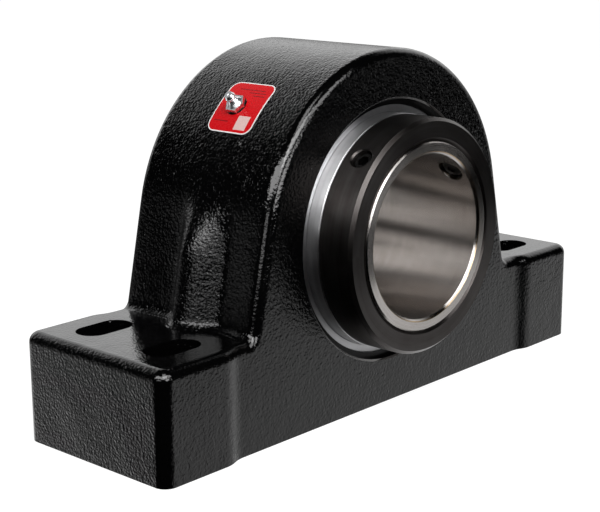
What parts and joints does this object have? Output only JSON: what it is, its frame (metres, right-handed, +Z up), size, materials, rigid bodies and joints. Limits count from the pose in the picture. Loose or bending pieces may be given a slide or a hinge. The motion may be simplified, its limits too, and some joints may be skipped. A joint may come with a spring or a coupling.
{
  "type": "pillow block bearing",
  "caption": "Four-bolt cast pillow block with a sealed double-row taper roller bearing, set-screw locking collars and a grease fitting, for a 3-15/16 inch shaft",
  "frame": {"origin": "middle of the flat underside of the base, straight below the middle of the bearing", "axes": "+X runs along the base, +Y along the shaft away from the front face, +Z up"},
  "size_m": [0.3874, 0.165, 0.218],
  "materials": {
    "black_paint": "gloss black enamel over cast iron with a fine sand-cast grain",
    "bearing_steel": "ground bearing steel",
    "ground_steel": "fine ground bearing steel",
    "pressed_steel": "bright pressed sheet steel",
    "carrier_steel": "turned bright steel",
    "seal_rubber": "moulded nitrile rubber",
    "black_oxide": "black oxide on turned steel, half gloss",
    "screw_steel": "black oxide alloy steel",
    "zinc_plate": "bright zinc plate",
    "spring_steel": "drawn spring wire",
    "label_film": "printed vinyl film, red with a white border"
  },
  "bodies": {
    "block": {"housing": "black_paint", "front_cup": "bearing_steel", "rear_cup": "bearing_steel", "cup_spacer": "bearing_steel", "front_seal_carrier": "carrier_steel", "rear_seal_carrier": "carrier_steel", "front_seal_lip": "seal_rubber", "rear_seal_lip": "seal_rubber", "front_retaining_ring": "black_oxide", "rear_retaining_ring": "black_oxide", "grease_fitting": "zinc_plate", "grease_check_spring": "spring_steel", "label": "label_film"},
    "rotor": {"inner_ring": "ground_steel", "front_locking_collar": "black_oxide", "rear_locking_collar": "black_oxide", "front_set_screws": "screw_steel", "rear_set_screws": "screw_steel", "front_flinger": "pressed_steel", "rear_flinger": "pressed_steel"},
    "front_roller_set": {"front_rollers": "bearing_steel", "front_cage": "pressed_steel"},
    "rear_roller_set": {"rear_rollers": "bearing_steel", "rear_cage": "pressed_steel"},
    "check_ball": {"grease_check_ball": "bearing_steel"}
  },
  "joints": [
    {"name": "inner_spin", "type": "hinge", "parent": "block", "child": "rotor", "pos_m": [0, 0, 0.10795], "axis": [0, 1, 0], "continuous": true},
    {"name": "front_rollers_orbit", "type": "hinge", "parent": "block", "child": "front_roller_set", "pos_m": [0, 0, 0.10795], "axis": [0, 1, 0], "continuous": true},
    {"name": "rear_rollers_orbit", "type": "hinge", "parent": "block", "child": "rear_roller_set", "pos_m": [0, 0, 0.10795], "axis": [0, 1, 0], "continuous": true},
    {"name": "grease_check_slide", "type": "slide", "parent": "block", "child": "check_ball", "axis": [0.6947, 0, -0.7193], "range_m": [0, 0.001], "stiffness_N_per_m": 300, "springref_m": -0.001, "deforming": ["grease_check_spring"]}
  ],
  "couplings": [
    {"joint": "front_rollers_orbit", "follows": "inner_spin", "ratio": 0.4537},
    {"joint": "rear_rollers_orbit", "follows": "inner_spin", "ratio": 0.4537}
  ]
}
